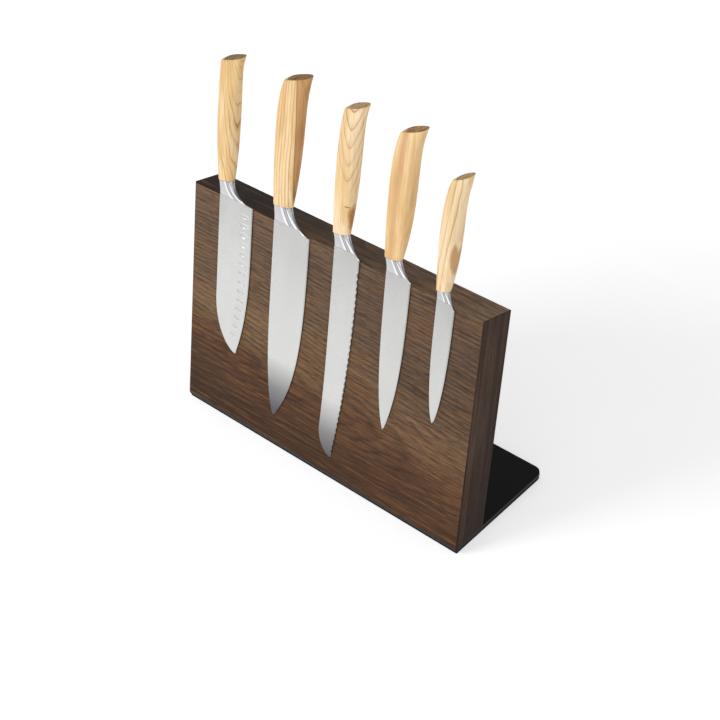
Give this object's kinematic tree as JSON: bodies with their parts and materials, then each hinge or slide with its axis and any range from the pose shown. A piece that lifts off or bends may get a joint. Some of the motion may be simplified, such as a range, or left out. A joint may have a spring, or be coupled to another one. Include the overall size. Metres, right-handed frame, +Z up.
{
  "type": "magnetic knife block with knives",
  "caption": "Leaning dark wooden board on a flat black base, holding kitchen knives with pale wooden handles on its magnetic front face.",
  "frame": {"origin": "centre of the base's footprint, on the surface the block stands on", "axes": "+X to the right seen from the front, -Y towards the front, +Z up; the board leans back towards +Y"},
  "size_m": [0.35, 0.12, 0.3583],
  "materials": {
    "smoked_wood": "dark smoked open-grained wood, oiled",
    "olive_wood": "pale figured olive wood, smooth and lightly oiled",
    "blade_steel": "satin ground stainless steel",
    "bolster_steel": "polished stainless steel",
    "screw_steel": "plain steel",
    "black_plate": "black satin lacquer",
    "pad": "matte black",
    "magnet": "sintered, grey"
  },
  "bodies": {
    "block": {"front_board": "smoked_wood", "back_board": "smoked_wood", "upper_magnets": "magnet", "lower_magnets": "magnet", "base_plate": "black_plate", "base_screws": "screw_steel", "non_slip_pad": "pad"},
    "santoku": {"santoku_blade": "blade_steel", "santoku_bolster": "bolster_steel", "santoku_handle": "olive_wood"},
    "chef_knife": {"chef_blade": "blade_steel", "chef_bolster": "bolster_steel", "chef_handle": "olive_wood"},
    "bread_knife": {"bread_blade": "blade_steel", "bread_bolster": "bolster_steel", "bread_handle": "olive_wood"},
    "carving_knife": {"carving_blade": "blade_steel", "carving_bolster": "bolster_steel", "carving_handle": "olive_wood"},
    "utility_knife": {"utility_blade": "blade_steel", "utility_bolster": "bolster_steel", "utility_handle": "olive_wood"}
  },
  "joints": [
    {"name": "pull_off_santoku", "type": "slide", "parent": "block", "child": "santoku", "axis": [0, -0.9588, 0.284], "range_m": [0, 0.12]},
    {"name": "pull_off_chef", "type": "slide", "parent": "block", "child": "chef_knife", "axis": [0, -0.9588, 0.284], "range_m": [0, 0.12]},
    {"name": "pull_off_bread", "type": "slide", "parent": "block", "child": "bread_knife", "axis": [0, -0.9588, 0.284], "range_m": [0, 0.12]},
    {"name": "pull_off_carving", "type": "slide", "parent": "block", "child": "carving_knife", "axis": [0, -0.9588, 0.284], "range_m": [0, 0.12]},
    {"name": "pull_off_utility", "type": "slide", "parent": "block", "child": "utility_knife", "axis": [0, -0.9588, 0.284], "range_m": [0, 0.12]}
  ]
}
